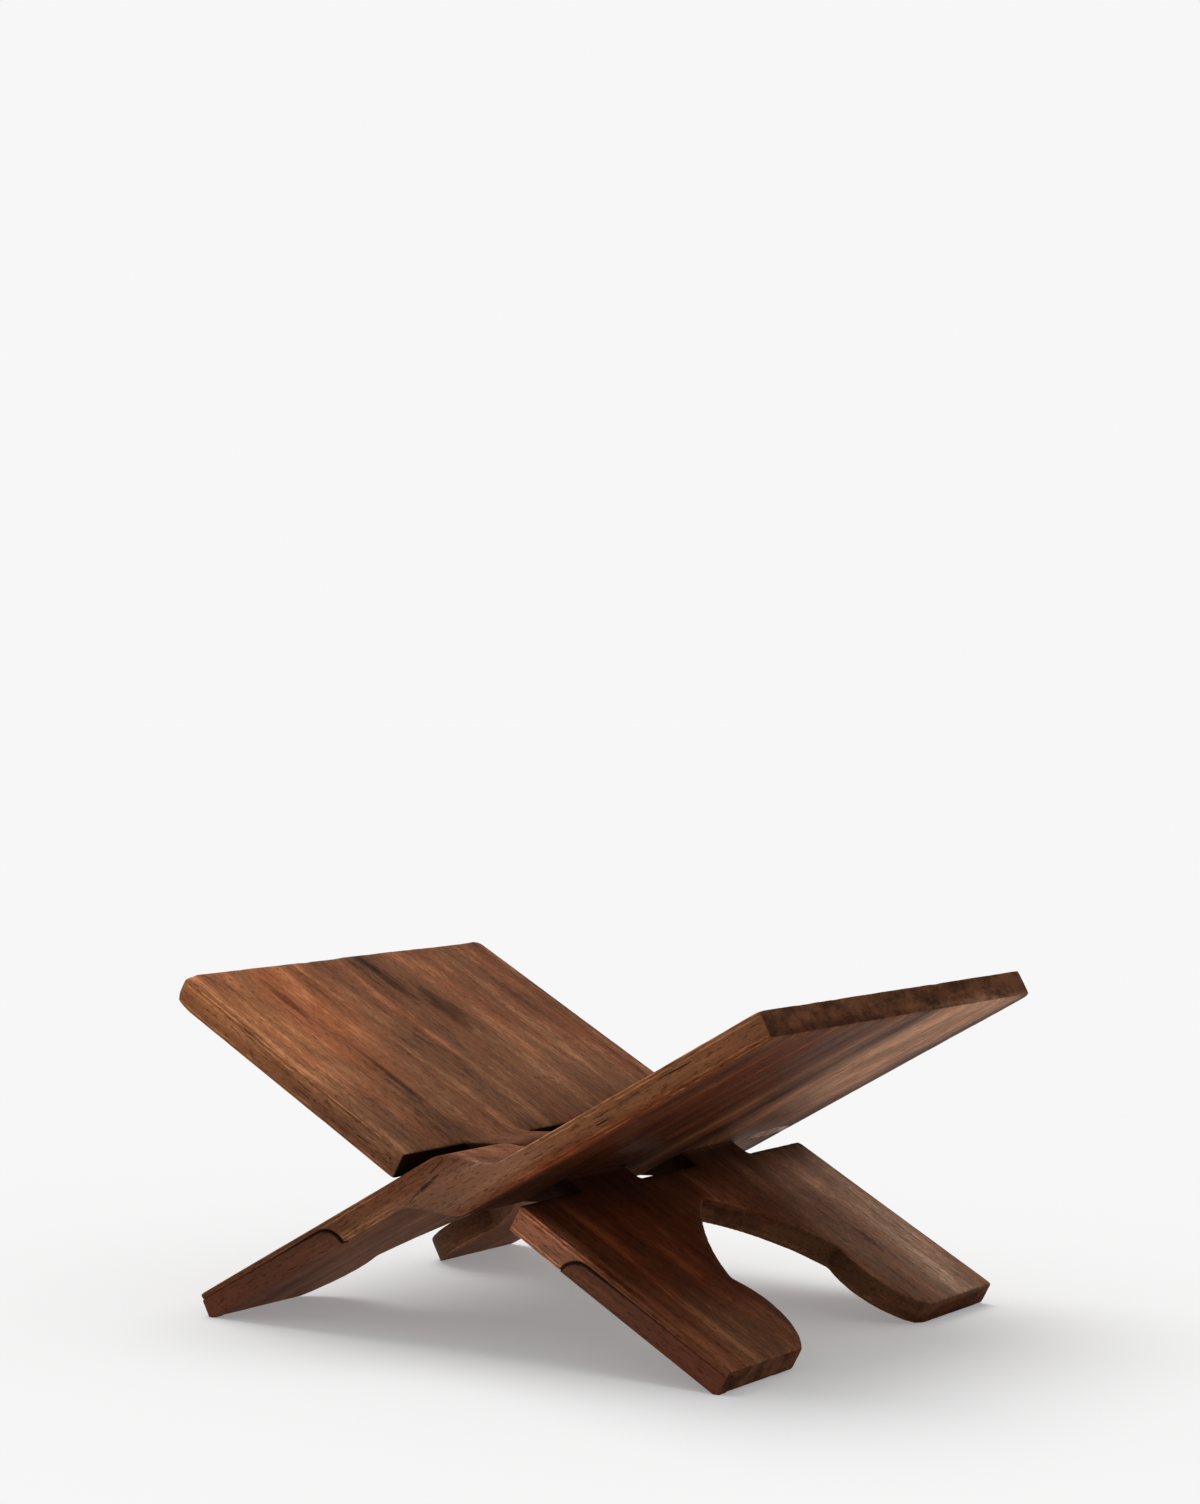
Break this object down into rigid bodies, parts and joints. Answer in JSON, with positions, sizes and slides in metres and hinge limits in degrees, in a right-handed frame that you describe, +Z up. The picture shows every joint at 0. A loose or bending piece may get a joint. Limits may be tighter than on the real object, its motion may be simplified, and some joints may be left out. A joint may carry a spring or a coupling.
{
  "type": "folding album stand",
  "caption": "Folding wooden stand that holds an open photo album, two leaves cut from one plank and crossed on carved interlocking knuckles.",
  "frame": {"origin": "on the floor, under the middle of the hinge line, at the bottom centre of the open stand's box", "axes": "+X across the open stand towards the side of leaf_a's album board, +Y along the hinge away from the front edge with the patches, +Z up"},
  "size_m": [0.3531, 0.25, 0.1699],
  "materials": {
    "stand_wood": "worn oiled hardwood, satin",
    "patch_wood": "darker worn hardwood, satin"
  },
  "bodies": {
    "right_leaf": {"leaf_a": "stand_wood", "patch_a": "patch_wood"},
    "left_leaf": {"leaf_b": "stand_wood", "patch_b": "patch_wood"}
  },
  "joints": [
    {"name": "fold", "type": "hinge", "parent": "right_leaf", "child": "left_leaf", "pos_m": [0, 0, 0.0783], "axis": [0, 1, 0], "range_deg": [0, 122.2]}
  ]
}
